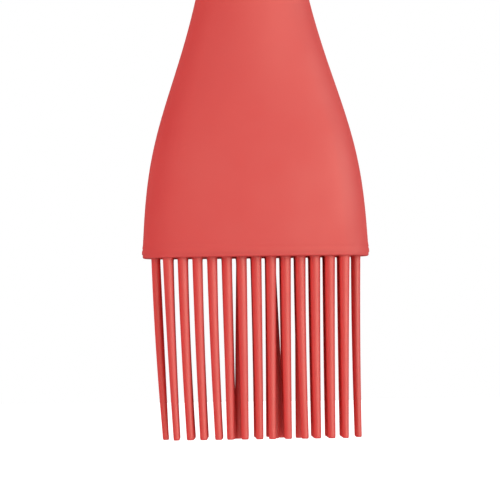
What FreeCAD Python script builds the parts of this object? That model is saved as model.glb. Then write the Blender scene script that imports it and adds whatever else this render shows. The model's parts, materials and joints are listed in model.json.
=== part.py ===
import FreeCAD, Part
import math
import os
import Sketcher

# Pastry brush with a bell-shaped silicone head and a hanging hole in its handle.
#
# The brush hangs along Z. The origin is the centre of the hanging hole, the handle runs
# down from it, then the head, and the bristles end lowest. X runs across the flat of the
# brush and Y through its thickness, with the front face towards -Y. Lengths are in
# millimetres and angles in degrees.
#
# Four pieces make the body of the brush: a stiff core whose blade runs from the hanging
# hole into the head, a soft skin moulded over its upper part, a head that pulls off the
# blade, and a bed that closes the head's mouth. Four rows of bristles flex below the bed.

SIZES = (
    # The head, from its lip up to the collar where it meets the handle. Each section is
    # an oval, and each rise is the height from the section below.
    ("lip_width", 40.0, "head across its lip"),
    ("lip_depth", 14.0, "head front to back at its lip"),
    ("cheek_rise", 9.4, "lip to cheek"),
    ("cheek_width", 38.7, "head across the cheek"),
    ("cheek_depth", 13.8, "head front to back at the cheek"),
    ("shoulder_rise", 10.7, "cheek to shoulder"),
    ("shoulder_width", 35.0, "head across the shoulder"),
    ("shoulder_depth", 13.4, "head front to back at the shoulder"),
    ("flank_rise", 10.6, "shoulder to flank"),
    ("flank_width", 28.5, "head across the flank"),
    ("flank_depth", 12.9, "head front to back at the flank"),
    ("throat_rise", 10.6, "flank to throat"),
    ("throat_width", 22.0, "head across the throat"),
    ("throat_depth", 12.2, "head front to back at the throat"),
    ("neck_rise", 11.1, "throat to neck"),
    ("neck_width", 17.2, "head across the neck"),
    ("neck_depth", 11.5, "head front to back at the neck"),
    ("collar_rise", 13.0, "neck to collar"),
    ("collar_width", 15.0, "head and handle across the collar"),
    ("collar_depth", 11.0, "head and handle front to back at the collar"),
    ("crown", 1.2, "half depth of an oval less the radius of its sides"),
    # The handle, from the collar up to the hanging hole.
    ("waist_rise", 24.0, "collar to waist"),
    ("waist_width", 14.0, "handle across its waist"),
    ("waist_depth", 10.4, "handle front to back at its waist"),
    ("grip_rise", 40.0, "waist to grip"),
    ("grip_width", 19.6, "handle across its grip"),
    ("grip_depth", 9.8, "handle front to back at its grip"),
    ("hip_rise", 28.0, "grip to hip, where the handle reaches the width of its end"),
    ("hole_rise", 10.0, "hip to the centre of the hanging hole"),
    ("end_width", 21.0, "handle across the hanging hole, twice its end radius"),
    ("end_depth", 9.2, "handle front to back at the hanging hole"),
    ("hole_radius", 4.0, "hanging hole"),
    # The core: a blade that ends in a ring around the hanging hole.
    ("blade_width", 9.6, "blade across"),
    ("blade_depth", 5.6, "blade and ring front to back"),
    ("tongue_corner", 1.5, "corner radius at the tip of the blade's tongue, in the head"),
    ("ring_lining", 1.2, "skin between the hanging hole and the ring"),
    ("ring_wall", 2.4, "ring from its inside to its outside"),
    # How the head sits on the tongue and holds the bed.
    ("seam_gap", 0.1, "head to handle skin at the collar"),
    ("socket_clearance", 0.12, "tongue to socket, on each side"),
    ("socket_end_clearance", 0.5, "tip of the tongue to the end of the socket"),
    ("web", 8.9, "solid head between the socket and the mouth"),
    ("mouth_wall", 1.5, "head wall around the bed's plug"),
    ("plug_height", 6.0, "plug inside the head"),
    ("plug_clearance", 0.1, "plug to head"),
    ("flange_thickness", 0.6, "bed below the lip"),
    ("flange_inset", 0.35, "flange inside the outline of the lip"),
    # The bristles.
    ("bristle_length", 32.0, "bed to bristle tips"),
    ("root_diameter", 1.8, "bristle at its root"),
    ("tip_diameter", 1.35, "bristle at its tip"),
    ("root_clearance", 0.1, "bristle root to bed"),
    ("columns", 13, "bristles in the first and the last row, an odd number"),
    ("end_margin", 1.44, "side of the lip to the outermost bristle"),
    ("end_gap", 0.41, "outermost bristle to the next one in its row"),
    ("row_margin", 1.9, "front or back of the lip to the nearest row"),
    ("lean", 1.1, "angle at which a bristle at the side of the lip leans inwards"),
)

# Each row is named from the front, with its place in row pitches from the middle of the
# bed. The two middle rows carry one more bristle at either end.
ROWS = (
    ("front", -1.5, False),
    ("second", -0.5, True),
    ("third", 0.5, True),
    ("back", 1.5, False),
)

Z_AXIS = FreeCAD.Vector(0, 0, 1)
TOUCHING = 1e-4

doc = FreeCAD.newDocument("pastry_brush")
sheet = doc.addObject("Spreadsheet::Sheet", "sizes")
for number, (alias, size, note) in enumerate(SIZES, 1):
    sheet.set(f"A{number}", note)
    sheet.set(f"B{number}", str(size))
    sheet.setAlias(f"B{number}", alias)
doc.recompute()

# Heights, as expressions. The hanging hole is at zero.
HIP_Z = "-sizes.hole_rise"
GRIP_Z = f"({HIP_Z} - sizes.hip_rise)"
WAIST_Z = f"({GRIP_Z} - sizes.grip_rise)"
COLLAR_Z = f"({WAIST_Z} - sizes.waist_rise)"
HEAD_TOP_Z = f"({COLLAR_Z} - sizes.seam_gap)"
NECK_Z = f"({HEAD_TOP_Z} - sizes.collar_rise)"
THROAT_Z = f"({NECK_Z} - sizes.neck_rise)"
FLANK_Z = f"({THROAT_Z} - sizes.throat_rise)"
SHOULDER_Z = f"({FLANK_Z} - sizes.flank_rise)"
CHEEK_Z = f"({SHOULDER_Z} - sizes.shoulder_rise)"
LIP_Z = f"({CHEEK_Z} - sizes.cheek_rise)"
MOUTH_Z = f"({LIP_Z} + sizes.plug_height + sizes.plug_clearance)"
SOCKET_Z = f"({MOUTH_Z} + sizes.web)"
TONGUE_Z = f"({SOCKET_Z} + sizes.socket_end_clearance)"
BED_Z = f"({LIP_Z} - sizes.flange_thickness)"
ROOT_DROP = "(sizes.root_diameter / 2 + sizes.root_clearance)"
ROOT_Z = f"({BED_Z} - {ROOT_DROP})"

# Places of the bristles on the bed.
END_X = "(sizes.lip_width / 2 - sizes.end_margin - sizes.root_diameter / 2)"
SIDE_X = f"({END_X} - sizes.root_diameter - sizes.end_gap)"
COLUMN_PITCH = f"(2 * {SIDE_X} / (sizes.columns - 1))"
ROW_PITCH = "((sizes.lip_depth - 2 * sizes.row_margin - sizes.root_diameter) / 3)"


def new_body(label):
    body = doc.addObject("PartDesign::Body", label)
    body.Label = label
    return body


def plane_sketch(body, role, name, height="0"):
    """A sketch on one of the body's own planes, raised along the plane's normal."""
    plane = next(item for item in body.Origin.OriginFeatures if item.Role == role)
    sketch = body.newObject("Sketcher::SketchObject", name)
    sketch.AttachmentSupport = [(plane, "")]
    sketch.MapMode = "FlatFace"
    sketch.setExpression("AttachmentOffset.Base.z", height)
    return sketch


def measure(sketch, kind, places, expression, name):
    """A dimension of the sketch, bound to an expression."""
    size = float(sketch.evalExpression(expression))
    index = sketch.addConstraint(Sketcher.Constraint(kind, *places, size))
    sketch.renameConstraint(index, name)
    sketch.setExpression(f"Constraints.{name}", expression)


def arc_between(centre, start, end):
    """The arc about a centre that runs anticlockwise from one point to another."""
    first = math.atan2(start.y - centre.y, start.x - centre.x)
    last = math.atan2(end.y - centre.y, end.x - centre.x)
    circle = Part.Circle(centre, Z_AXIS, start.distanceToPoint(centre))
    return Part.ArcOfCircle(circle, first, last)


def oval_formulas(width, depth):
    """An oval of four arcs that meet smoothly, two on its sides and two flatter ones on
    its front and back: their radii, and where they meet in the first quarter."""
    half_width = f"(({width}) / 2)"
    half_depth = f"(({depth}) / 2)"
    side = f"({half_depth} - sizes.crown)"
    reach = f"({half_width} - {side})"
    flat = f"(({reach}^2 + {half_depth}^2 - {side}^2) / (2 * sizes.crown))"
    join_x = f"({reach} * {flat} / ({flat} - {side}))"
    join_y = f"({side} * ({flat} - {half_depth}) / ({flat} - {side}))"
    return half_width, half_depth, side, flat, join_x, join_y


def oval_sketch(body, name, width, depth, height):
    """A horizontal oval, centred on the Z axis."""
    sketch = plane_sketch(body, "XY_Plane", name, height)
    formulas = oval_formulas(width, depth)
    numbers = [float(sketch.evalExpression(formula)) for formula in formulas]
    half_width, half_depth, side_size, flat_size, x, y = numbers
    right = FreeCAD.Vector(half_width - side_size, 0, 0)
    front = FreeCAD.Vector(0, half_depth - flat_size, 0)
    corners = [FreeCAD.Vector(x, -y, 0), FreeCAD.Vector(x, y, 0),
               FreeCAD.Vector(-x, y, 0), FreeCAD.Vector(-x, -y, 0)]
    centres = [right, front, -right, -front]
    for index, centre in enumerate(centres):
        sketch.addGeometry(arc_between(centre, corners[index], corners[(index + 1) % 4]))
    for index in range(4):
        sketch.addConstraint(Sketcher.Constraint("Coincident", index, 2, (index + 1) % 4, 1))
    sketch.addConstraint(Sketcher.Constraint("Symmetric", 0, 1, 0, 2, -1))
    sketch.addConstraint(Sketcher.Constraint("Symmetric", 1, 1, 1, 2, -2))
    sketch.addConstraint(Sketcher.Constraint("Symmetric", 3, 1, 3, 2, -2))
    sketch.addConstraint(Sketcher.Constraint("Equal", 0, 2))
    sketch.addConstraint(Sketcher.Constraint("Equal", 1, 3))
    side, flat, join_x, join_y = formulas[2:]
    measure(sketch, "Radius", (0,), side, "side_radius")
    measure(sketch, "Radius", (1,), flat, "flat_radius")
    measure(sketch, "DistanceX", (-1, 1, 0, 2), join_x, "join_x")
    measure(sketch, "DistanceY", (-1, 1, 0, 2), join_y, "join_y")
    return sketch


def half_oval_sketch(body, name, width, depth):
    """The right half of a horizontal oval at the hanging hole, closed along the Y axis."""
    sketch = plane_sketch(body, "XY_Plane", name)
    formulas = oval_formulas(width, depth)
    numbers = [float(sketch.evalExpression(formula)) for formula in formulas]
    half_width, half_depth, side_size, flat_size, x, y = numbers
    right = FreeCAD.Vector(half_width - side_size, 0, 0)
    front = FreeCAD.Vector(0, half_depth - flat_size, 0)
    top = FreeCAD.Vector(0, half_depth, 0)
    sketch.addGeometry(arc_between(right, FreeCAD.Vector(x, -y, 0), FreeCAD.Vector(x, y, 0)))
    sketch.addGeometry(arc_between(front, FreeCAD.Vector(x, y, 0), top))
    sketch.addGeometry(Part.LineSegment(top, -top))
    sketch.addGeometry(arc_between(-front, -top, FreeCAD.Vector(x, -y, 0)))
    for index in range(4):
        sketch.addConstraint(Sketcher.Constraint("Coincident", index, 2, (index + 1) % 4, 1))
    sketch.addConstraint(Sketcher.Constraint("Symmetric", 0, 1, 0, 2, -1))
    sketch.addConstraint(Sketcher.Constraint("Symmetric", 2, 1, 2, 2, -1))
    sketch.addConstraint(Sketcher.Constraint("PointOnObject", 2, 1, -2))
    sketch.addConstraint(Sketcher.Constraint("Equal", 1, 3))
    _, half_depth_formula, side, flat, join_x, join_y = formulas
    measure(sketch, "Radius", (0,), side, "side_radius")
    measure(sketch, "Radius", (1,), flat, "flat_radius")
    measure(sketch, "DistanceX", (-1, 1, 0, 2), join_x, "join_x")
    measure(sketch, "DistanceY", (-1, 1, 0, 2), join_y, "join_y")
    measure(sketch, "DistanceY", (-1, 1, 2, 1), half_depth_formula, "half_depth")
    return sketch


def circle_sketch(body, role, name, radius):
    """A circle about the body's origin."""
    sketch = plane_sketch(body, role, name)
    size = float(sketch.evalExpression(radius))
    sketch.addGeometry(Part.Circle(FreeCAD.Vector(0, 0, 0), Z_AXIS, size))
    sketch.addConstraint(Sketcher.Constraint("Coincident", 0, 3, -1, 1))
    measure(sketch, "Radius", (0,), radius, "radius")
    return sketch


def rectangle_sketch(body, role, name, width, low, high, height="0"):
    """A rectangle centred on the sketch's upright axis, between two levels."""
    sketch = plane_sketch(body, role, name, height)
    half = float(sketch.evalExpression(width)) / 2
    bottom = float(sketch.evalExpression(low))
    top = float(sketch.evalExpression(high))
    corners = [FreeCAD.Vector(-half, bottom, 0), FreeCAD.Vector(half, bottom, 0),
               FreeCAD.Vector(half, top, 0), FreeCAD.Vector(-half, top, 0)]
    for index, corner in enumerate(corners):
        sketch.addGeometry(Part.LineSegment(corner, corners[(index + 1) % 4]))
    for index in range(4):
        sketch.addConstraint(Sketcher.Constraint("Coincident", index, 2, (index + 1) % 4, 1))
    sketch.addConstraint(Sketcher.Constraint("Symmetric", 0, 1, 0, 2, -2))
    sketch.addConstraint(Sketcher.Constraint("Horizontal", 2))
    sketch.addConstraint(Sketcher.Constraint("Vertical", 1))
    sketch.addConstraint(Sketcher.Constraint("Vertical", 3))
    measure(sketch, "DistanceX", (0, 1, 0, 2), width, "width")
    measure(sketch, "DistanceY", (-1, 1, 0, 2), low, "low")
    measure(sketch, "DistanceY", (1, 1, 1, 2), f"({high}) - ({low})", "tall")
    return sketch


def pad(body, sketch, length, both_ways=False):
    feature = body.newObject("PartDesign::Pad", sketch.Name + "_pad")
    feature.Profile = sketch
    feature.SideType = "Symmetric" if both_ways else "One side"
    feature.setExpression("Length", length)
    return feature


def pocket(body, sketch, length, upwards=False, both_ways=False):
    """A pocket that must take material away."""
    before = body.Tip
    feature = body.newObject("PartDesign::Pocket", sketch.Name + "_pocket")
    feature.Profile = sketch
    feature.SideType = "Symmetric" if both_ways else "One side"
    feature.Reversed = upwards
    feature.setExpression("Length", length)
    doc.recompute()
    if feature.Shape.Volume >= before.Shape.Volume:
        raise RuntimeError(f"{feature.Name} cuts nothing")
    return feature


def loft(body, sections):
    """A smooth solid through ovals, each given as (name, width, depth, height)."""
    sketches = [oval_sketch(body, *section) for section in sections]
    feature = body.newObject("PartDesign::AdditiveLoft", body.Name + "_loft")
    feature.Profile = sketches[0]
    feature.Sections = sketches[1:]
    return feature


def make_core():
    """The blade and its ring, one flat moulding."""
    body = new_body("handle_core")
    inner_radius = "(sizes.hole_radius + sizes.ring_lining)"
    blade = rectangle_sketch(body, "XZ_Plane", "blade", "sizes.blade_width", TONGUE_Z,
                             f"-{inner_radius}")
    pad(body, blade, "sizes.blade_depth", both_ways=True)
    ring = circle_sketch(body, "XZ_Plane", "ring", f"{inner_radius} + sizes.ring_wall")
    pad(body, ring, "sizes.blade_depth", both_ways=True)
    eye = circle_sketch(body, "XZ_Plane", "ring_eye", inner_radius)
    doc.recompute()
    whole = pocket(body, eye, "2 * sizes.blade_depth", both_ways=True)
    tip_level = float(sheet.evalExpression(TONGUE_Z))
    corners = []
    for number, edge in enumerate(whole.Shape.Edges, 1):
        ends = [vertex.Point for vertex in edge.Vertexes]
        at_tip = all(abs(point.z - tip_level) < TOUCHING for point in ends)
        if at_tip and abs(ends[0].x - ends[-1].x) < TOUCHING:
            corners.append(f"Edge{number}")
    rounding = body.newObject("PartDesign::Fillet", "tongue_tip_fillet")
    rounding.Base = (whole, corners)
    rounding.setExpression("Radius", "sizes.tongue_corner")
    return body


def make_skin(core):
    """The soft skin of the handle: its outer form, less the core inside it."""
    form = new_body("handle_form")
    loft(form, (
        ("handle_collar", "sizes.collar_width", "sizes.collar_depth", COLLAR_Z),
        ("handle_waist", "sizes.waist_width", "sizes.waist_depth", WAIST_Z),
        ("handle_grip", "sizes.grip_width", "sizes.grip_depth", GRIP_Z),
        ("handle_hip", "sizes.end_width", "sizes.end_depth", HIP_Z),
        ("handle_end", "sizes.end_width", "sizes.end_depth", "0"),
    ))
    half_end = half_oval_sketch(form, "handle_end_half", "sizes.end_width", "sizes.end_depth")
    doc.recompute()
    cap = form.newObject("PartDesign::Revolution", "handle_end_cap")
    cap.Profile = half_end
    cap.ReferenceAxis = (half_end, ["V_Axis"])
    cap.Angle = 180
    cap.Reversed = True
    doc.recompute()
    hole = circle_sketch(form, "XZ_Plane", "hanging_hole", "sizes.hole_radius")
    pocket(form, hole, "2 * sizes.end_depth", both_ways=True)
    skin = doc.addObject("Part::Cut", "handle_skin")
    skin.Label = "handle_skin"
    skin.Base = form
    skin.Tool = core
    return skin


def make_head():
    """The head, with a socket for the tongue and a mouth for the bed's plug."""
    body = new_body("head_shell")
    loft(body, (
        ("head_lip", "sizes.lip_width", "sizes.lip_depth", LIP_Z),
        ("head_cheek", "sizes.cheek_width", "sizes.cheek_depth", CHEEK_Z),
        ("head_shoulder", "sizes.shoulder_width", "sizes.shoulder_depth", SHOULDER_Z),
        ("head_flank", "sizes.flank_width", "sizes.flank_depth", FLANK_Z),
        ("head_throat", "sizes.throat_width", "sizes.throat_depth", THROAT_Z),
        ("head_neck", "sizes.neck_width", "sizes.neck_depth", NECK_Z),
        ("head_collar", "sizes.collar_width", "sizes.collar_depth", HEAD_TOP_Z),
    ))
    doc.recompute()
    socket_width = "sizes.blade_width + 2 * sizes.socket_clearance"
    socket_half = "(sizes.blade_depth / 2 + sizes.socket_clearance)"
    socket = rectangle_sketch(body, "XY_Plane", "socket", socket_width,
                              f"-{socket_half}", socket_half, HEAD_TOP_Z)
    pocket(body, socket, f"{HEAD_TOP_Z} - {SOCKET_Z}")
    mouth = oval_sketch(body, "mouth", "sizes.lip_width - 2 * sizes.mouth_wall",
                        "sizes.lip_depth - 2 * sizes.mouth_wall", LIP_Z)
    pocket(body, mouth, f"{MOUTH_Z} - {LIP_Z}", upwards=True)
    return body


def make_bed():
    """The bed: a thin flange under the lip, and a plug that fills the mouth."""
    body = new_body("bristle_block")
    flange = oval_sketch(body, "flange", "sizes.lip_width - 2 * sizes.flange_inset",
                         "sizes.lip_depth - 2 * sizes.flange_inset", BED_Z)
    pad(body, flange, "sizes.flange_thickness")
    inset = "2 * (sizes.mouth_wall + sizes.plug_clearance)"
    plug = oval_sketch(body, "plug", f"sizes.lip_width - {inset}",
                       f"sizes.lip_depth - {inset}", LIP_Z)
    pad(body, plug, "sizes.plug_height")
    return body


def make_bristle_form():
    """One bristle about its own root: a tapered shaft below half a ball."""
    shaft = doc.addObject("Part::Cone", "bristle_shaft")
    shaft.setExpression("Radius1", "sizes.tip_diameter / 2")
    shaft.setExpression("Radius2", "sizes.root_diameter / 2")
    shaft.setExpression("Height", f"sizes.bristle_length - {ROOT_DROP}")
    shaft.setExpression("Placement.Base.z", f"{ROOT_DROP} - sizes.bristle_length")
    root = doc.addObject("Part::Sphere", "bristle_root")
    root.setExpression("Radius", "sizes.root_diameter / 2")
    root.Angle1 = 0
    return shaft, root


def make_bristle(label, form, across, row_step):
    """A bristle at its place on the bed, leaning inwards the more, the further it is
    from the middle of the brush."""
    bristle = doc.addObject("Part::MultiFuse", label)
    bristle.Label = label
    bristle.Shapes = list(form)
    place = f"create(<<vector>>; {across}; ({row_step}) * {ROW_PITCH}; {ROOT_Z})"
    angle = f"sizes.lean * ({across}) / (sizes.lip_width / 2)"
    turn = f"create(<<rotation>>; create(<<vector>>; 0; 1; 0); {angle})"
    bristle.setExpression("Placement", f"create(<<placement>>; {place}; {turn})")
    return bristle


def make_row(name, row_step, with_ends, form):
    columns = int(sheet.columns)
    places = [f"({index} - (sizes.columns - 1) / 2) * {COLUMN_PITCH}"
              for index in range(columns)]
    if with_ends:
        places = [f"-{END_X}"] + places + [END_X]
    return [make_bristle(f"bristle_{name}_{number:02d}", form, across, row_step)
            for number, across in enumerate(places, 1)]


def check_document(pieces):
    """Stops when a feature failed, or a piece isn't one valid solid."""
    for item in doc.Objects:
        if "Invalid" in item.State or "Error" in item.State:
            raise RuntimeError(f"{item.Name} failed: {item.State}")
    for piece in pieces:
        shape = piece.Shape
        if shape.isNull() or not shape.isValid() or len(shape.Solids) != 1:
            raise RuntimeError(f"{piece.Label} is not one valid solid")


core = make_core()
skin = make_skin(core)
head = make_head()
bed = make_bed()
bristle_form = make_bristle_form()
bristles = []
for row_name, step, ends in ROWS:
    bristles += make_row(row_name, step, ends, bristle_form)
doc.recompute()

sub_parts = [core, skin, head, bed] + bristles
check_document(sub_parts)

os.makedirs("parts", exist_ok=True)
for sub_part in sub_parts:
    sub_part.Shape.exportStep(f"parts/{sub_part.Label}.step")
print(f"{len(sub_parts)} sub-parts written")
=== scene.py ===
# %% [markdown]
# # A silicone pastry brush
# The brush has a bell-shaped head, a bed of soft bristles and a slim handle with a hanging
# hole. A CAD frame already holds its sizes, its bodies and its joints. This lesson loads that
# frame, models the soft parts over it, gives them the look of matt coral silicone, and
# lights them. The main sizes are read from the frame. Small roundings, the way single
# bristles have set, the lights and the camera are given here.

# %% Load the frame
import bmesh
import bpy
import json
import math
import random
from mathutils import Matrix, Vector


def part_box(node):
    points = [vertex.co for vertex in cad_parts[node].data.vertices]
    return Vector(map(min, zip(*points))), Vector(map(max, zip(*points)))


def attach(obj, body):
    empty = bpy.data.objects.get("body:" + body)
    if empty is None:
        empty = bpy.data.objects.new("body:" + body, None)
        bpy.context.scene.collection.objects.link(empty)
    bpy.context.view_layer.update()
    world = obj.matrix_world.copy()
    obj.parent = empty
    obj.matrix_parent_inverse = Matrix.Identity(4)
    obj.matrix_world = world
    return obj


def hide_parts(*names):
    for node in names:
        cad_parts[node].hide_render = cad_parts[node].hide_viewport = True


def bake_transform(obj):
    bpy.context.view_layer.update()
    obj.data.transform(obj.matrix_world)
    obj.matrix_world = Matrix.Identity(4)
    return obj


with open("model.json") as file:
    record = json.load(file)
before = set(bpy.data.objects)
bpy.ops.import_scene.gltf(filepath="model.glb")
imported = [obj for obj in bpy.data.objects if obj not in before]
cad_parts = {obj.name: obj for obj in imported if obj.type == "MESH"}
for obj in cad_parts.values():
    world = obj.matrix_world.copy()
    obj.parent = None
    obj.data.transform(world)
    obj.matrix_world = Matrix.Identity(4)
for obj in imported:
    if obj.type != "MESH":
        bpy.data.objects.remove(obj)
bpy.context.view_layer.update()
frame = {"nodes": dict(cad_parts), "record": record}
nodes = frame["nodes"]
MM = 0.001

# %% Read the levels of the brush
lip_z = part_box("head_shell")[0].z
head_top_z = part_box("head_shell")[1].z
bed_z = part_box("bristle_block")[0].z
collar_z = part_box("handle_skin")[0].z
tip_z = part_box("bristle_front_07")[0].z
hole_radius = frame["record"]["mounts"][0]["dims"]["r_mm"] * MM
print(f"head {head_top_z - lip_z:.4f} m tall, bristles {bed_z - tip_z:.4f} m long")

# %% [markdown]
# ## Working as by hand
# Modelling operators act on what is selected, so each step first clears the selection, and
# then picks vertices, edges or faces by their place. Small helpers do that.


# %% Helpers for selecting
def clear_selection():
    bpy.ops.object.select_all(action="DESELECT")


def pick(piece, kind, test):
    """In edit mode, selects the vertices, edges or faces that pass a test."""
    bpy.ops.mesh.select_mode(type=kind)
    bpy.ops.mesh.select_all(action="DESELECT")
    mesh = bmesh.from_edit_mesh(piece.data)
    parts = {"VERT": mesh.verts, "EDGE": mesh.edges, "FACE": mesh.faces}[kind]
    for part in parts:
        if test(part):
            part.select_set(True)
    mesh.select_flush_mode()
    bmesh.update_edit_mesh(piece.data)


def at_level(level, slack=0.01 * MM):
    """A test for edges that lie at one height."""
    return lambda edge: all(abs(corner.co.z - level) < slack for corner in edge.verts)


def apply_modifier(piece, kind, **settings):
    modifier = piece.modifiers.new(kind.lower(), kind)
    for name, value in settings.items():
        setattr(modifier, name, value)
    bpy.context.view_layer.objects.active = piece
    bpy.ops.object.modifier_apply(modifier=modifier.name)


# %% [markdown]
# ## A cage that settles on the CAD surface
# The head and the handle are smooth swelling forms. Their CAD faces are exact but their
# triangles are uneven, which a soft matt surface shows. So each one gets a cage of clean
# rings, extruded upwards and scaled to the width and depth that two rays measure on the CAD
# node. Shrinkwrap then settles the cage on the CAD surface, and subdivision rounds it.

# %% Measure a CAD node with two rays
FAR = 1.0
OFF_SEAM = 0.02 * MM


def half_sizes(node, level):
    """Half the width and half the depth of a CAD node at one height."""
    side = node.ray_cast(Vector((FAR, OFF_SEAM, level)), Vector((-1, 0, 0)))[1]
    face = node.ray_cast(Vector((OFF_SEAM, -FAR, level)), Vector((0, 1, 0)))[1]
    return side.x, -face.y


# %% Raise a cage of rings
CAGE_SIDES = 32
CAGE_STEP = 3.6 * MM
OUTSIDE = 1.12


def raise_cage(name, node, bottom, top):
    """An open tube of rings round a CAD node, a little larger than it all over."""
    clear_selection()
    inside = 0.02 * MM
    width, depth = half_sizes(node, bottom + inside)
    bpy.ops.mesh.primitive_circle_add(vertices=CAGE_SIDES, radius=1, location=(0, 0, bottom))
    cage = bpy.context.object
    cage.name = name
    bpy.ops.object.mode_set(mode="EDIT")
    bpy.ops.mesh.select_all(action="SELECT")
    bpy.ops.transform.resize(value=(width * OUTSIDE, depth * OUTSIDE, 1),
                             center_override=(0, 0, bottom))
    count = round((top - bottom) / CAGE_STEP)
    step = (top - bottom) / count
    for ring in range(1, count + 1):
        level = bottom + ring * step
        next_width, next_depth = half_sizes(node, min(level, top - inside))
        bpy.ops.mesh.extrude_edges_move(TRANSFORM_OT_translate={"value": (0, 0, step)})
        bpy.ops.transform.resize(value=(next_width / width, next_depth / depth, 1),
                                 center_override=(0, 0, level))
        width, depth = next_width, next_depth
    bpy.ops.object.mode_set(mode="OBJECT")
    bpy.ops.object.transform_apply(location=True)
    return cage


def settle_on(piece, node, flat_levels):
    """Shrinkwraps a cage onto a CAD node, flattens its end rings and evens out its halves."""
    apply_modifier(piece, "SHRINKWRAP", target=node, wrap_method="NEAREST_SURFACEPOINT")
    bpy.ops.object.mode_set(mode="EDIT")
    for level in flat_levels:
        pick(piece, "EDGE", at_level(level, slack=0.5 * MM))
        bpy.ops.transform.resize(value=(1, 1, 0), center_override=(0, 0, level))
    for side in ("POSITIVE_X", "POSITIVE_Y"):
        bpy.ops.mesh.select_all(action="SELECT")
        bpy.ops.mesh.symmetrize(direction=side, threshold=0.3 * MM)
    bpy.ops.object.mode_set(mode="OBJECT")


def subdivide(piece, levels=2):
    apply_modifier(piece, "SUBSURF", levels=levels, render_levels=levels)


# %% [markdown]
# ## Details that moulded silicone has
# Silicone is pressed in a two-part mould. Where the halves meet, a fine flash line runs along
# the sides. Every rim is slightly round, because the rubber can't fill a sharp corner.

# %% Helpers for the mould's traces
ON_PARTING = 0.03 * MM
FLASH_WIDTH = 0.11 * MM
FLASH_HEIGHT = 0.05 * MM


def raise_flash(piece, reach):
    """A fine ridge where the piece crosses the middle plane, beyond a distance from it."""
    def on_line(corner):
        off_axis = max(abs(corner.co.x), corner.co.z)
        return abs(corner.co.y) < ON_PARTING and off_axis > reach

    pick(piece, "EDGE", lambda edge: all(on_line(corner) for corner in edge.verts))
    bpy.ops.mesh.bevel(offset=FLASH_WIDTH, segments=2, affect="EDGES")
    pick(piece, "VERT", on_line)
    bpy.ops.transform.shrink_fatten(value=FLASH_HEIGHT)


def close_end(piece, level, rounding):
    """Closes an open end with a flat face and rounds its rim."""
    pick(piece, "EDGE", at_level(level))
    bpy.ops.mesh.edge_face_add()
    pick(piece, "EDGE", at_level(level))
    bpy.ops.mesh.bevel(offset=rounding, segments=4, affect="EDGES")


def face_outwards(piece):
    bpy.ops.mesh.select_all(action="SELECT")
    bpy.ops.mesh.remove_doubles(threshold=0.001 * MM)
    bpy.ops.mesh.normals_make_consistent(inside=False)
    bpy.ops.object.mode_set(mode="OBJECT")
    bpy.ops.object.shade_smooth_by_angle(angle=math.radians(40))
    print(piece.name, len(piece.data.polygons), "faces")


def cut_away(piece, cutter):
    """Takes a cutter out of a piece."""
    cutter.select_set(False)
    piece.select_set(True)
    apply_modifier(piece, "BOOLEAN", object=cutter, operation="DIFFERENCE", solver="EXACT")
    bpy.data.objects.remove(cutter)


# %% [markdown]
# ## The head
# The bell sits on the handle's tongue and ends in a lip with a faint bead, just above the
# bed. The cage is cut at a few heights near the lip, and those loops are pushed outwards by a
# tenth of a millimetre for the bead. The socket in its top is cut with a rounded block.

# %% Model the head
BEAD = ((2.6 * MM, 0.01 * MM), (1.8 * MM, 0.03 * MM), (1.1 * MM, 0.07 * MM),
        (0.5 * MM, 0.1 * MM), (0.0, 0.1 * MM))
LIP_ROUNDING = 0.18 * MM
COLLAR_ROUNDING = 0.35 * MM
head = raise_cage("head_silicone", nodes["head_shell"], lip_z, head_top_z)
settle_on(head, nodes["head_shell"], (lip_z, head_top_z))
subdivide(head)
bpy.ops.object.mode_set(mode="EDIT")
for height, bulge in BEAD:
    if height > 0:
        bpy.ops.mesh.select_all(action="SELECT")
        bpy.ops.mesh.bisect(plane_co=(0, 0, lip_z + height), plane_no=(0, 0, 1))
    pick(head, "EDGE", at_level(lip_z + height))
    bpy.ops.transform.shrink_fatten(value=bulge)
raise_flash(head, reach=5 * MM)
close_end(head, lip_z, LIP_ROUNDING)
close_end(head, head_top_z, COLLAR_ROUNDING)
face_outwards(head)

# %% Cut the socket
core_low, core_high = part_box("handle_core")
SOCKET_CLEARANCE = 0.12 * MM
blade_depth = core_high.y
tongue_end = core_low.z


def blade_half_width():
    """Half the width of the blade, measured by a ray above the middle of the tongue."""
    level = (tongue_end + collar_z) / 2
    return nodes["handle_core"].ray_cast(Vector((FAR, 0, level)), Vector((-1, 0, 0)))[1].x


clear_selection()
socket_half = blade_half_width() + SOCKET_CLEARANCE
socket_deep = blade_depth + SOCKET_CLEARANCE
socket_low = tongue_end - 0.5 * MM
socket_high = head_top_z + 2 * MM
bpy.ops.mesh.primitive_cube_add(size=1, location=(0, 0, (socket_low + socket_high) / 2))
socket = bpy.context.object
bpy.ops.object.mode_set(mode="EDIT")
bpy.ops.transform.resize(value=(2 * socket_half, 2 * socket_deep, socket_high - socket_low))
pick(socket, "EDGE", lambda edge: abs(edge.verts[0].co.z - edge.verts[1].co.z) > 1 * MM)
bpy.ops.mesh.bevel(offset=0.5 * MM, segments=4, affect="EDGES")
bpy.ops.object.mode_set(mode="OBJECT")
cut_away(head, socket)
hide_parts("head_shell")
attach(head, "head")

# %% [markdown]
# ## The bed
# The bed closes the head's mouth. Only its thin flange shows. The real one is trimmed level
# with the lip, so only a fine shadow line runs between the two. The flange starts as one ring
# as wide and as deep as the lip, settled on the CAD flange and let out to the lip's outline,
# and is extruded upwards and closed.

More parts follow.
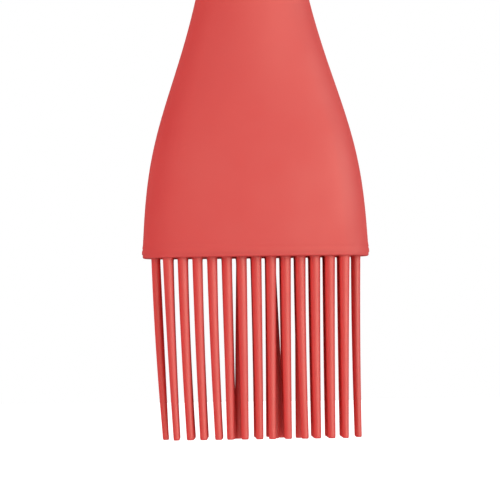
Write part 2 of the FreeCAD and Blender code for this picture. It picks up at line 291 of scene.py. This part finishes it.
# %% Model the bed
BED_ROUNDING = 0.28 * MM
BED_SWELL = 0.12 * MM
TRIMMED_TO_LIP = 0.32 * MM
flange_bottom = bed_z - BED_SWELL
flange_middle = (bed_z + lip_z) / 2
clear_selection()
flange_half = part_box("bristle_block")[1]
bpy.ops.mesh.primitive_circle_add(vertices=4 * CAGE_SIDES, radius=1,
                                  location=(0, 0, flange_middle))
bed = bpy.context.object
bed.name = "bristle_bed"
bpy.ops.object.mode_set(mode="EDIT")
bpy.ops.transform.resize(value=(flange_half.x * OUTSIDE, flange_half.y * OUTSIDE, 1),
                         center_override=(0, 0, flange_middle))
bpy.ops.object.mode_set(mode="OBJECT")
bpy.ops.object.transform_apply(location=True)
apply_modifier(bed, "SHRINKWRAP", target=nodes["bristle_block"],
               wrap_method="NEAREST_SURFACEPOINT")
bpy.ops.object.mode_set(mode="EDIT")
bpy.ops.mesh.select_all(action="SELECT")
bpy.ops.transform.resize(value=(1, 1, 0), center_override=(0, 0, flange_bottom))
bpy.ops.mesh.extrude_edges_move(
    TRANSFORM_OT_translate={"value": (0, 0, lip_z - flange_bottom)})
bpy.ops.mesh.select_all(action="SELECT")
bpy.ops.mesh.normals_make_consistent(inside=False)
bpy.ops.transform.shrink_fatten(value=TRIMMED_TO_LIP)
pick(bed, "EDGE", at_level(lip_z))
bpy.ops.mesh.edge_face_add()
close_end(bed, flange_bottom, BED_ROUNDING)
face_outwards(bed)
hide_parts("bristle_block")
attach(bed, "head")

# %% [markdown]
# ## The handle
# The handle's rings rise from the collar to just below the hanging hole. Its round end is the
# top ring's right half spun by half a turn about the axis of the hole, which meets the left
# half. The hole is cut out with a spool, whose flaring ends leave round rims.

# %% Model the handle
below_hole = -1.5 * hole_radius
handle = raise_cage("handle_silicone", nodes["handle_skin"], collar_z, below_hole)
settle_on(handle, nodes["handle_skin"], (collar_z, below_hole))
bpy.ops.object.mode_set(mode="EDIT")
pick(handle, "EDGE", at_level(below_hole))
for _ in range(2):
    bpy.ops.mesh.extrude_edges_move(
        TRANSFORM_OT_translate={"value": (0, 0, -below_hole / 2)})
pick(handle, "EDGE", lambda edge: at_level(0)(edge)
     and all(corner.co.x > -0.01 * MM for corner in edge.verts))
bpy.ops.mesh.spin(steps=12, angle=math.pi, center=(0, 0, 0), axis=(0, 1, 0))
bpy.ops.mesh.select_all(action="SELECT")
bpy.ops.mesh.remove_doubles(threshold=0.01 * MM)
bpy.ops.mesh.normals_make_consistent(inside=False)
bpy.ops.object.mode_set(mode="OBJECT")
subdivide(handle)
bpy.ops.object.mode_set(mode="EDIT")
raise_flash(handle, reach=6.2 * MM)
close_end(handle, collar_z, COLLAR_ROUNDING)
face_outwards(handle)

# %% Cut the hanging hole
RIM_ROUNDING = 0.9 * MM
RIM_STEPS = 6
RIM_OPENING = math.radians(78)
end_face = half_sizes(nodes["handle_skin"], hole_radius + 1.5 * MM)[1]


def spool_profile():
    """Distances from the middle plane and radii, from the middle out through one rim."""
    rings = []
    for step in range(RIM_STEPS + 1):
        turn = RIM_OPENING * step / RIM_STEPS
        rings.append((end_face - RIM_ROUNDING * (1 - math.sin(turn)),
                      hole_radius + RIM_ROUNDING * (1 - math.cos(turn))))
    out = 0.8 * MM
    rings.append((rings[-1][0] + out, rings[-1][1] + out * math.tan(RIM_OPENING)))
    return rings


half_spool = spool_profile()
spool_rings = [(-away, radius) for away, radius in reversed(half_spool)] + half_spool
clear_selection()
place, radius = spool_rings[0]
bpy.ops.mesh.primitive_circle_add(vertices=64, radius=radius, fill_type="NGON",
                                  location=(0, place, 0), rotation=(math.pi / 2, 0, 0))
spool = bpy.context.object
bpy.ops.object.transform_apply(location=True, rotation=True)
bpy.ops.object.mode_set(mode="EDIT")
bpy.ops.mesh.select_all(action="SELECT")
for next_place, next_radius in spool_rings[1:]:
    bpy.ops.mesh.extrude_region_move(
        TRANSFORM_OT_translate={"value": (0, next_place - place, 0)})
    scale = next_radius / radius
    bpy.ops.transform.resize(value=(scale, 1, scale), center_override=(0, next_place, 0))
    place, radius = next_place, next_radius
face_outwards(spool)
cut_away(handle, spool)
bpy.context.view_layer.objects.active = handle
bpy.ops.object.mode_set(mode="EDIT")
face_outwards(handle)
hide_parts("handle_skin")
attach(handle, "handle")

# %% [markdown]
# ## The bristles
# One straight bristle is modelled from a ring, extruded downwards: a small fillet at its
# root, a long taper, and a tip cut flat with a softened edge. Every bristle is a copy of it
# at its CAD place and lean, and its tip is then pulled a little sideways with proportional
# editing, as bristles set with use. Neighbours that lean together pass one in front of the
# other, so that their tips don't cut through each other.

# %% Model one bristle
BRISTLE_SIDES = 20
SHAFT_RINGS = 12
bristle_length = bed_z - tip_z
root_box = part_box("bristle_front_07")
root_radius = (root_box[1].y - root_box[0].y) / 2
TIP_RADIUS = 0.65 * MM
FILLET = ((-0.1 * MM, 1.36), (0.0, 1.26), (0.12 * MM, 1.11), (0.3 * MM, 1.03))
TIP_EDGE = ((0.22 * MM, 0.98), (0.08 * MM, 0.92), (0.0, 0.78))


def bristle_profile():
    """Distances below the bed and radii, from root to tip."""
    rings = [(depth, root_radius * share) for depth, share in FILLET]
    shaft_start = 0.7 * MM
    shaft_end = bristle_length - 0.5 * MM
    for ring in range(SHAFT_RINGS + 1):
        share = ring / SHAFT_RINGS
        depth = shaft_start + share * (shaft_end - shaft_start)
        rings.append((depth, root_radius + share * (TIP_RADIUS - root_radius)))
    rings += [(bristle_length - rise, TIP_RADIUS * share) for rise, share in TIP_EDGE]
    return rings


def model_bristle():
    profile = bristle_profile()
    depth, radius = profile[0]
    clear_selection()
    bpy.ops.mesh.primitive_circle_add(vertices=BRISTLE_SIDES, radius=radius,
                                      fill_type="NGON", location=(0, 0, -depth))
    bristle = bpy.context.object
    bpy.ops.object.transform_apply(location=True)
    bpy.ops.object.mode_set(mode="EDIT")
    bpy.ops.mesh.select_all(action="SELECT")
    for next_depth, next_radius in profile[1:]:
        move = {"value": (0, 0, depth - next_depth)}
        bpy.ops.mesh.extrude_region_move(TRANSFORM_OT_translate=move)
        scale = next_radius / radius
        bpy.ops.transform.resize(value=(scale, scale, 1), center_override=(0, 0, -next_depth))
        depth, radius = next_depth, next_radius
    face_outwards(bristle)
    return bristle


# %% Place every bristle
random.seed(7)
COLUMN_SET = (0.88, 0.66, 0.56, 0.38, 0.5, 0.0, -0.06, -0.08, 0.06, 0.25, 0.6, 0.28, 0.28,
              0.2, 0.45)
ROWS = ("front", "second", "third", "back")
STRAYS = {"bristle_second_06": 0.35, "bristle_second_07": -1.2, "bristle_third_07": -0.35,
          "bristle_second_09": 0.65, "bristle_third_09": 1.75, "bristle_third_10": 0.3,
          "bristle_second_11": -0.3, "bristle_third_11": 0.0, "bristle_third_01": 0.8}
PASSING = {"bristle_second_06": -0.5, "bristle_second_07": 0.5,
           "bristle_third_09": -0.5, "bristle_third_10": 0.5}
LEFT_DRIFT, RIGHT_DRIFT = 0.08, -0.07
END_SHARE = 0.84
SLIM_COLUMNS = (1, 13)
SLIM_SHARE = 0.86
TIP_DEPTH = 0.3 * MM


def column_of(name):
    """The column that a bristle stands in. The outer rows have no end columns."""
    _, row, number = name.split("_")
    return int(number) - 1 if row in ("second", "third") else int(number)


def drift(column):
    """How much further sideways each row behind the front one has set."""
    if column in (0, 1, 13, 14):
        return 0
    return LEFT_DRIFT if column < 7 else RIGHT_DRIFT


def tip_set(name):
    """How far a bristle's tip has set sideways and backwards."""
    column = column_of(name)
    behind = ROWS.index(name.split("_")[1])
    across = COLUMN_SET[column]
    if behind:
        across += drift(column) * behind + random.uniform(-0.08, 0.08)
    backwards = random.uniform(-0.2, 0.2)
    return Vector((STRAYS.get(name, across) * MM, PASSING.get(name, backwards) * MM, 0))


def place_bristle(name, master):
    low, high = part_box(name)
    side = 1 if low.x + high.x > 0 else -1
    edge = high.x if side > 0 else low.x
    root = Vector((edge - side * root_radius, (low.y + high.y) / 2, bed_z))
    tip_edge = low.x if side > 0 else high.x
    lean_offset = tip_edge + side * TIP_RADIUS - root.x
    at_end = name in ("bristle_second_01", "bristle_second_15",
                      "bristle_third_01", "bristle_third_15")
    bristle = master.copy()
    bristle.data = master.data.copy()
    bristle.name = "soft_" + name
    bpy.context.scene.collection.objects.link(bristle)
    clear_selection()
    bristle.select_set(True)
    bpy.context.view_layer.objects.active = bristle
    thin = END_SHARE if at_end else 1
    bristle.scale = (thin, thin, 1)
    bristle.rotation_euler = (0, math.atan2(-lean_offset, bristle_length), 0)
    bristle.location = root
    bpy.ops.object.transform_apply(location=True, rotation=True, scale=True)
    bpy.ops.object.mode_set(mode="EDIT")
    pick(bristle, "VERT", lambda corner: corner.co.z < tip_z + TIP_DEPTH)
    falloff = "LINEAR" if name in STRAYS else "SHARP"
    moved = tip_set(name)
    bpy.ops.transform.translate(value=moved, use_proportional_edit=True,
                                proportional_edit_falloff=falloff,
                                proportional_size=bristle_length)
    if column_of(name) in SLIM_COLUMNS:
        tip = Vector((root.x + lean_offset, root.y, tip_z)) + moved
        bpy.ops.transform.resize(value=(SLIM_SHARE, SLIM_SHARE, 1), center_override=tip,
                                 use_proportional_edit=True,
                                 proportional_edit_falloff="LINEAR",
                                 proportional_size=bristle_length)
    bpy.ops.object.mode_set(mode="OBJECT")
    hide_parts(name)
    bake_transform(bristle)
    return bristle


master_bristle = model_bristle()
bristle_names = sorted(name for name in nodes if name.startswith("bristle_")
                       and name != "bristle_block")
bristles = [place_bristle(name, master_bristle) for name in bristle_names]
bpy.data.objects.remove(master_bristle)
print(len(bristles), "bristles")

# %% [markdown]
# ## Node groups for the finishes
# The silicone parts share three effects, each a node group: a tint that drifts slowly over
# the surface, the grain that the mould leaves, and a little lint that silicone always
# attracts. The groups only give colours, masks and heights. The shader stays in each material.


# %% Helpers for node groups
def new_group(name, inputs, outputs):
    """A shader node group with named sockets, each given as (name, socket type, value)."""
    group = bpy.data.node_groups.new(name, "ShaderNodeTree")
    for label, kind, value in inputs:
        socket = group.interface.new_socket(label, in_out="INPUT", socket_type=kind)
        socket.default_value = value
    for label, kind in outputs:
        group.interface.new_socket(label, in_out="OUTPUT", socket_type=kind)
    start = group.nodes.new("NodeGroupInput")
    end = group.nodes.new("NodeGroupOutput")
    return group, start, end


def noise(tree, place, scale, detail=3.0):
    """A noise texture that reads a place, at a scale given by a socket or a number."""
    texture = tree.nodes.new("ShaderNodeTexNoise")
    texture.inputs["Detail"].default_value = detail
    tree.links.new(place, texture.inputs["Vector"])
    if isinstance(scale, float):
        texture.inputs["Scale"].default_value = scale
    else:
        tree.links.new(scale, texture.inputs["Scale"])
    return texture.outputs["Fac"]


def arithmetic(tree, operation, first, second=0.0):
    node = tree.nodes.new("ShaderNodeMath")
    node.operation = operation
    for index, value in enumerate((first, second)):
        if isinstance(value, (int, float)):
            node.inputs[index].default_value = value
        else:
            tree.links.new(value, node.inputs[index])
    return node.outputs[0]


def remap(tree, value, low, high, new_low=0.0, new_high=1.0):
    node = tree.nodes.new("ShaderNodeMapRange")
    tree.links.new(value, node.inputs["Value"])
    for name, number in (("From Min", low), ("From Max", high),
                         ("To Min", new_low), ("To Max", new_high)):
        node.inputs[name].default_value = number
    return node.outputs["Result"]


def mix_colours(tree, factor, first, second):
    node = tree.nodes.new("ShaderNodeMix")
    node.data_type = "RGBA"
    tree.links.new(factor, node.inputs["Factor"])
    for name, value in (("A", first), ("B", second)):
        socket = next(item for item in node.inputs if item.name == name
                      and item.type == "RGBA")
        if isinstance(value, tuple):
            socket.default_value = value
        else:
            tree.links.new(value, socket)
    return next(item for item in node.outputs if item.type == "RGBA")


# %% The drifting tint
tint_group, source, result = new_group(
    "silicone_tint",
    (("Place", "NodeSocketVector", (0, 0, 0)), ("Colour", "NodeSocketColor", (1, 1, 1, 1)),
     ("Drift Colour", "NodeSocketColor", (1, 1, 1, 1)), ("Scale", "NodeSocketFloat", 60.0),
     ("Amount", "NodeSocketFloat", 0.5)),
    (("Colour", "NodeSocketColor"),))
drift = noise(tint_group, source.outputs["Place"], source.outputs["Scale"])
drift = remap(tint_group, drift, 0.35, 0.65)
drift = arithmetic(tint_group, "MULTIPLY", drift, source.outputs["Amount"])
tinted = mix_colours(tint_group, drift, source.outputs["Colour"],
                     source.outputs["Drift Colour"])
tint_group.links.new(tinted, result.inputs["Colour"])

# %% The grain of the mould
grain_group, source, result = new_group(
    "mould_grain",
    (("Place", "NodeSocketVector", (0, 0, 0)), ("Grain Scale", "NodeSocketFloat", 2600.0),
     ("Swell Scale", "NodeSocketFloat", 240.0), ("Swell", "NodeSocketFloat", 0.35)),
    (("Height", "NodeSocketFloat"), ("Polish", "NodeSocketFloat")))
fine = noise(grain_group, source.outputs["Place"], source.outputs["Grain Scale"], 4.0)
swell = noise(grain_group, source.outputs["Place"], source.outputs["Swell Scale"], 1.0)
swell = arithmetic(grain_group, "MULTIPLY", swell, source.outputs["Swell"])
grain_group.links.new(arithmetic(grain_group, "ADD", fine, swell), result.inputs["Height"])
polish = noise(grain_group, source.outputs["Place"], 90.0, 2.0)
grain_group.links.new(remap(grain_group, polish, 0.3, 0.7), result.inputs["Polish"])

# %% The lint
lint_group, source, result = new_group(
    "lint",
    (("Place", "NodeSocketVector", (0, 0, 0)), ("Scale", "NodeSocketFloat", 420.0),
     ("Size", "NodeSocketFloat", 0.05)),
    (("Mask", "NodeSocketFloat"),))
cells = lint_group.nodes.new("ShaderNodeTexVoronoi")
cells.inputs["Randomness"].default_value = 1.0
lint_group.links.new(source.outputs["Place"], cells.inputs["Vector"])
lint_group.links.new(source.outputs["Scale"], cells.inputs["Scale"])
speck = arithmetic(lint_group, "LESS_THAN", cells.outputs["Distance"], source.outputs["Size"])
where = noise(lint_group, source.outputs["Place"], 150.0, 2.0)
sparse = arithmetic(lint_group, "GREATER_THAN", where, 0.55)
lint_group.links.new(arithmetic(lint_group, "MULTIPLY", speck, sparse),
                     result.inputs["Mask"])

# %% [markdown]
# ## Matt coral silicone
# Silicone is a slightly cloudy rubber. Light enters it a little way and comes out redder, so
# the shader has some subsurface scattering, and its surface is matt with a broad soft shine.
# The head, the handle and the bristles share one maker with their own colours and amounts.


# %% Make the silicones
def place_group(tree, group, place, **values):
    node = tree.nodes.new("ShaderNodeGroup")
    node.node_tree = group
    tree.links.new(place, node.inputs["Place"])
    for name, value in values.items():
        node.inputs[name.replace("_", " ")].default_value = value
    return node


def make_silicone(name, colour, drift_colour, roughness, grain, lint_size, glow):
    material = bpy.data.materials.new(name)
    material.use_nodes = True
    tree = material.node_tree
    shader = tree.nodes["Principled BSDF"]
    place = tree.nodes.new("ShaderNodeTexCoord").outputs["Object"]
    tint = place_group(tree, tint_group, place, Colour=colour, Drift_Colour=drift_colour,
                       Scale=70.0, Amount=0.6)
    mould = place_group(tree, grain_group, place, Grain_Scale=2600.0, Swell_Scale=240.0,
                        Swell=0.35)
    lint = place_group(tree, lint_group, place, Scale=420.0, Size=lint_size)
    dusted = mix_colours(tree, lint.outputs["Mask"], tint.outputs["Colour"],
                         (0.72, 0.20, 0.18, 1))
    tree.links.new(dusted, shader.inputs["Base Color"])
    soft = remap(tree, mould.outputs["Polish"], 0.0, 1.0, roughness - 0.04, roughness + 0.05)
    tree.links.new(soft, shader.inputs["Roughness"])
    bump = tree.nodes.new("ShaderNodeBump")
    bump.inputs["Strength"].default_value = grain
    bump.inputs["Distance"].default_value = 0.02 * MM
    tree.links.new(mould.outputs["Height"], bump.inputs["Height"])
    tree.links.new(bump.outputs["Normal"], shader.inputs["Normal"])
    shader.inputs["Specular IOR Level"].default_value = 1.0
    shader.inputs["Subsurface Weight"].default_value = glow
    shader.inputs["Subsurface Radius"].default_value = (1.0, 0.22, 0.15)
    shader.inputs["Subsurface Scale"].default_value = 1.0 * MM
    return material


head_silicone = make_silicone("coral_silicone_head", (0.67, 0.037, 0.036, 1),
                              (0.69, 0.050, 0.045, 1), 0.68, 0.35, 0.02, 0.12)
handle_silicone = make_silicone("coral_silicone_handle", (0.67, 0.037, 0.036, 1),
                                (0.69, 0.050, 0.045, 1), 0.66, 0.45, 0.022, 0.12)
bristle_silicone = make_silicone("coral_silicone_bristles", (0.70, 0.043, 0.039, 1),
                                 (0.72, 0.052, 0.046, 1), 0.55, 0.2, 0.0, 0.35)

# %% [markdown]
# ## Glass-filled nylon
# The core is stiff nylon with short glass fibres, which show as fine pale streaks that run
# along the blade. It only comes into view when the head is pulled off.

# %% Make the nylon
nylon = bpy.data.materials.new("glass_filled_nylon")
nylon.use_nodes = True
tree = nylon.node_tree
shader = tree.nodes["Principled BSDF"]
place = tree.nodes.new("ShaderNodeTexCoord").outputs["Object"]
stretch = tree.nodes.new("ShaderNodeMapping")
stretch.inputs["Scale"].default_value = (1.0, 1.0, 0.08)
tree.links.new(place, stretch.inputs["Vector"])
fibres = remap(tree, noise(tree, stretch.outputs["Vector"], 3800.0, 2.0), 0.4, 0.75)
nylon_colour = mix_colours(tree, fibres, (0.55, 0.53, 0.48, 1), (0.62, 0.60, 0.55, 1))
tree.links.new(nylon_colour, shader.inputs["Base Color"])
tree.links.new(remap(tree, fibres, 0.0, 1.0, 0.5, 0.38), shader.inputs["Roughness"])
bump = tree.nodes.new("ShaderNodeBump")
bump.inputs["Strength"].default_value = 0.15
bump.inputs["Distance"].default_value = 0.02 * MM
tree.links.new(fibres, bump.inputs["Height"])
tree.links.new(bump.outputs["Normal"], shader.inputs["Normal"])

# %% Put the materials on
for piece, material in ((head, head_silicone), (bed, head_silicone),
                        (handle, handle_silicone), (nodes["handle_core"], nylon)):
    piece.data.materials.clear()
    piece.data.materials.append(material)
for bristle in bristles:
    bristle.data.materials.clear()
    bristle.data.materials.append(bristle_silicone)

# %% [markdown]
# ## The studio
# The brush hangs in front of white paper. A softbox on the right, a warm one that only adds
# shine and one on the left that only adds soft light model the bell. Two more light the back.
# The pale floor lies far enough below to stay out of the close view.

# %% The floor and the surroundings
FLOOR_DROP = 0.12
clear_selection()
bpy.ops.mesh.primitive_plane_add(size=8, location=(0, 0, tip_z - FLOOR_DROP))
floor = bpy.context.object
floor.name = "floor"
paper = bpy.data.materials.new("white_paper")
paper.use_nodes = True
paper_shader = paper.node_tree.nodes["Principled BSDF"]
paper_shader.inputs["Base Color"].default_value = (0.85, 0.85, 0.85, 1)
paper_shader.inputs["Roughness"].default_value = 0.9
paper_shader.inputs["Emission Color"].default_value = (1, 1, 1, 1)
paper_seen = paper.node_tree.nodes.new("ShaderNodeLightPath").outputs["Is Camera Ray"]
paper.node_tree.links.new(paper_seen, paper_shader.inputs["Emission Strength"])
floor.data.materials.append(paper)
floor.visible_glossy = False

world = bpy.data.worlds.new("white_room")
world.use_nodes = True
bpy.context.scene.world = world
room = world.node_tree
background = room.nodes["Background"]
background.inputs["Color"].default_value = (1, 1, 1, 1)
seen = room.nodes.new("ShaderNodeLightPath").outputs["Is Camera Ray"]
ROOM_LIGHT = 0.4
room.links.new(remap(room, seen, 0.0, 1.0, ROOM_LIGHT, 1.0), background.inputs["Strength"])
world.cycles_visibility.glossy = False
bpy.context.scene.view_settings.view_transform = "Standard"


# %% The lights
LIGHT_DISTANCE = 0.7


def softbox(name, azimuth, elevation, power, size=0.6, colour=(1, 0.97, 0.93),
            shines=True, lights=True):
    """A square softbox that faces the head. Azimuth 0 is in front, 90 is on the right."""
    turn, rise = math.radians(azimuth), math.radians(elevation)
    away = Vector((math.sin(turn) * math.cos(rise), -math.cos(turn) * math.cos(rise),
                   math.sin(rise)))
    light = bpy.data.lights.new(name, "AREA")
    light.size = size
    light.energy = power
    light.color = colour
    lamp = bpy.data.objects.new(name, light)
    lamp.location = Vector((0, 0, bed_z)) + away * LIGHT_DISTANCE
    lamp.rotation_euler = away.to_track_quat("Z", "Y").to_euler()
    lamp.visible_glossy = shines
    lamp.visible_diffuse = lights
    bpy.context.scene.collection.objects.link(lamp)


softbox("key", azimuth=65, elevation=15, power=2.3)
softbox("shine", azimuth=32, elevation=5, power=5.2, size=0.8, colour=(1, 0.97, 0.74),
        lights=False)
softbox("fill", azimuth=-37, elevation=15, power=2.6, shines=False)
softbox("back_left", azimuth=-140, elevation=20, power=2.0, shines=False)
softbox("back_right", azimuth=140, elevation=20, power=2.0, shines=False)

# %% [markdown]
# ## The camera
# The camera looks at the front of the head from 40 cm, from slightly below the lip and left
# of the middle, and is rolled by about one degree.

# %% Set up the camera
VIEW_DISTANCE = 0.4
FRAME_WIDTH = 88.3 * MM
SENSOR = 36.0
eye = Vector((-8.8 * MM, -VIEW_DISTANCE, bed_z - 12.9 * MM))
aim = Vector((-1.0 * MM, 0, bed_z + 1.2 * MM))
ROLL = math.radians(0.8)
camera_data = bpy.data.cameras.new("camera")
camera_data.sensor_width = SENSOR
camera_data.lens = SENSOR * VIEW_DISTANCE / FRAME_WIDTH
camera = bpy.data.objects.new("camera", camera_data)
camera.location = eye
look = (aim - eye).to_track_quat("-Z", "Y")
camera.rotation_euler = (look.to_matrix() @ Matrix.Rotation(-ROLL, 3, "Z")).to_euler()
bpy.context.scene.collection.objects.link(camera)
bpy.context.scene.camera = camera
